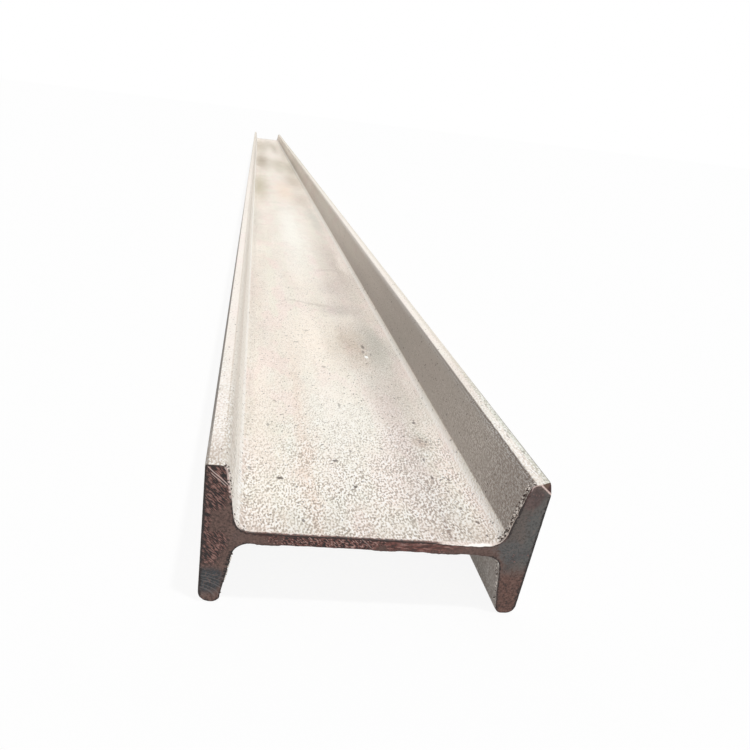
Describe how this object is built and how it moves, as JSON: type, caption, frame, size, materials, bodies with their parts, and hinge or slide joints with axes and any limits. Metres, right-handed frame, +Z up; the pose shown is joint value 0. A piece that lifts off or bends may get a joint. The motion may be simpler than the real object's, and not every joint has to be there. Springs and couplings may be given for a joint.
{
  "type": "steel i-beam",
  "caption": "Hot-rolled steel I-beam with tapered flanges, root fillets and sawn ends, lying on its flange edges with the web level.",
  "frame": {"origin": "middle of the beam's length, on the plane that the lower flange edges rest on", "axes": "+X across the section from flange to flange, +Y along the beam, +Z up, square to the web"},
  "size_m": [0.12, 3, 0.058],
  "materials": {
    "rolled_steel": "bare rolled steel, pale and matt with grey mill streaks and fine pits, and dark rusty sawn ends"
  },
  "bodies": {
    "root": {"i_beam": "rolled_steel"}
  },
  "joints": []
}
